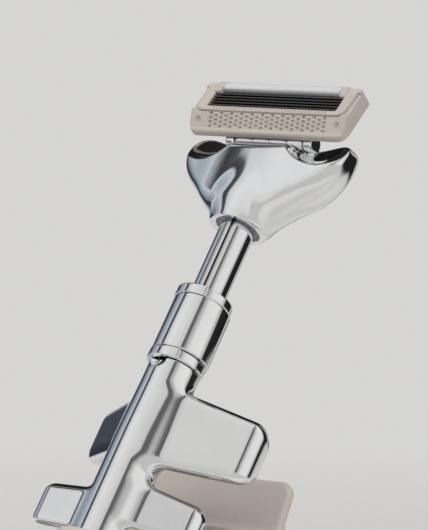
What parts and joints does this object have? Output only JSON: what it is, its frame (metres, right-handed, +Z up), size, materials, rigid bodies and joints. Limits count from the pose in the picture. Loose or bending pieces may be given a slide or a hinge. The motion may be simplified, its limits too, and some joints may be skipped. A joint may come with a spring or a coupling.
{
  "type": "cartridge razor",
  "caption": "Cartridge razor with a cast chrome handle with finger rests, a sliding stem with a twist lock, a pivoting cartridge and a weighted stand.",
  "frame": {"origin": "on the table under the stand, below the middle of its rubber pad's width, between its front and back", "axes": "+X along the blades to the razor's right, +Y to the back, the way the razor leans, +Z up"},
  "size_m": [0.052, 0.0971, 0.1173],
  "materials": {
    "polished_chrome": "polished",
    "stem_chrome": "polished",
    "small_steel": "satin",
    "ballast_steel": "satin",
    "collet_brass": "satin",
    "blade_steel": "satin",
    "cartridge_plastic": "satin",
    "guard_elastomer": "matte",
    "strip_polymer": "satin",
    "stand_resin": "satin",
    "soft_rubber": "matte",
    "dark_rubber": "matte",
    "bush_polymer": "satin"
  },
  "bodies": {
    "stand": {"stand_shell": "stand_resin", "stand_ballast_plate": "ballast_steel", "stand_base_pad": "soft_rubber", "stand_screws": "small_steel", "socket_liner": "dark_rubber"},
    "handle": {"handle_body": "polished_chrome", "handle_end_cap": "polished_chrome", "lower_collar": "polished_chrome", "upper_collar": "polished_chrome", "collet": "collet_brass", "o_ring": "dark_rubber", "guide_key": "small_steel"},
    "sleeve": {"lock_sleeve": "polished_chrome"},
    "head_and_stem": {"stem": "stem_chrome", "stem_end_stop": "small_steel", "head": "polished_chrome", "neck_bush": "bush_polymer", "head_set_screw": "small_steel", "plunger_spring": "small_steel"},
    "plunger": {"return_plunger": "bush_polymer"},
    "carrier": {"pivot_carrier": "polished_chrome", "pivot_pins": "small_steel"},
    "cartridge": {"cartridge_base": "cartridge_plastic", "cartridge_frame": "cartridge_plastic", "guard_pad": "guard_elastomer", "lubricating_strip": "strip_polymer", "blade_1": "blade_steel", "blade_2": "blade_steel", "blade_3": "blade_steel", "blade_4": "blade_steel", "blade_5": "blade_steel"}
  },
  "joints": [
    {"name": "razor_lift_out", "type": "slide", "parent": "stand", "child": "handle", "axis": [0, 0.6157, 0.788], "range_m": [0, 0.07]},
    {"name": "lock_sleeve_twist", "type": "hinge", "parent": "handle", "child": "sleeve", "pos_m": [0, 0.01984, 0.06212], "axis": [0, 0.6157, 0.788], "range_deg": [0, 60]},
    {"name": "stem_slide", "type": "slide", "parent": "handle", "child": "head_and_stem", "axis": [0, 0.6157, 0.788], "range_m": [-0.016, 0.02]},
    {"name": "cartridge_pivot", "type": "hinge", "parent": "head_and_stem", "child": "carrier", "pos_m": [0, 0.05122, 0.10423], "axis": [-1, 0, 0], "range_deg": [0, 40], "stiffness_Nm_per_rad": 0.02, "springref_deg": -11.46},
    {"name": "return_plunger_slide", "type": "slide", "parent": "head_and_stem", "child": "plunger", "axis": [0, 0.6157, 0.788], "range_m": [-0.0022, 0], "stiffness_N_per_m": 0.0005, "springref_m": 0.36, "deforming": ["plunger_spring"]},
    {"name": "cartridge_pull_off", "type": "slide", "parent": "carrier", "child": "cartridge", "axis": [0, 0.766, 0.6428], "range_m": [0, 0.012]}
  ],
  "couplings": [
    {"joint": "return_plunger_slide", "follows": "cartridge_pivot", "m_per_rad": -0.003}
  ]
}
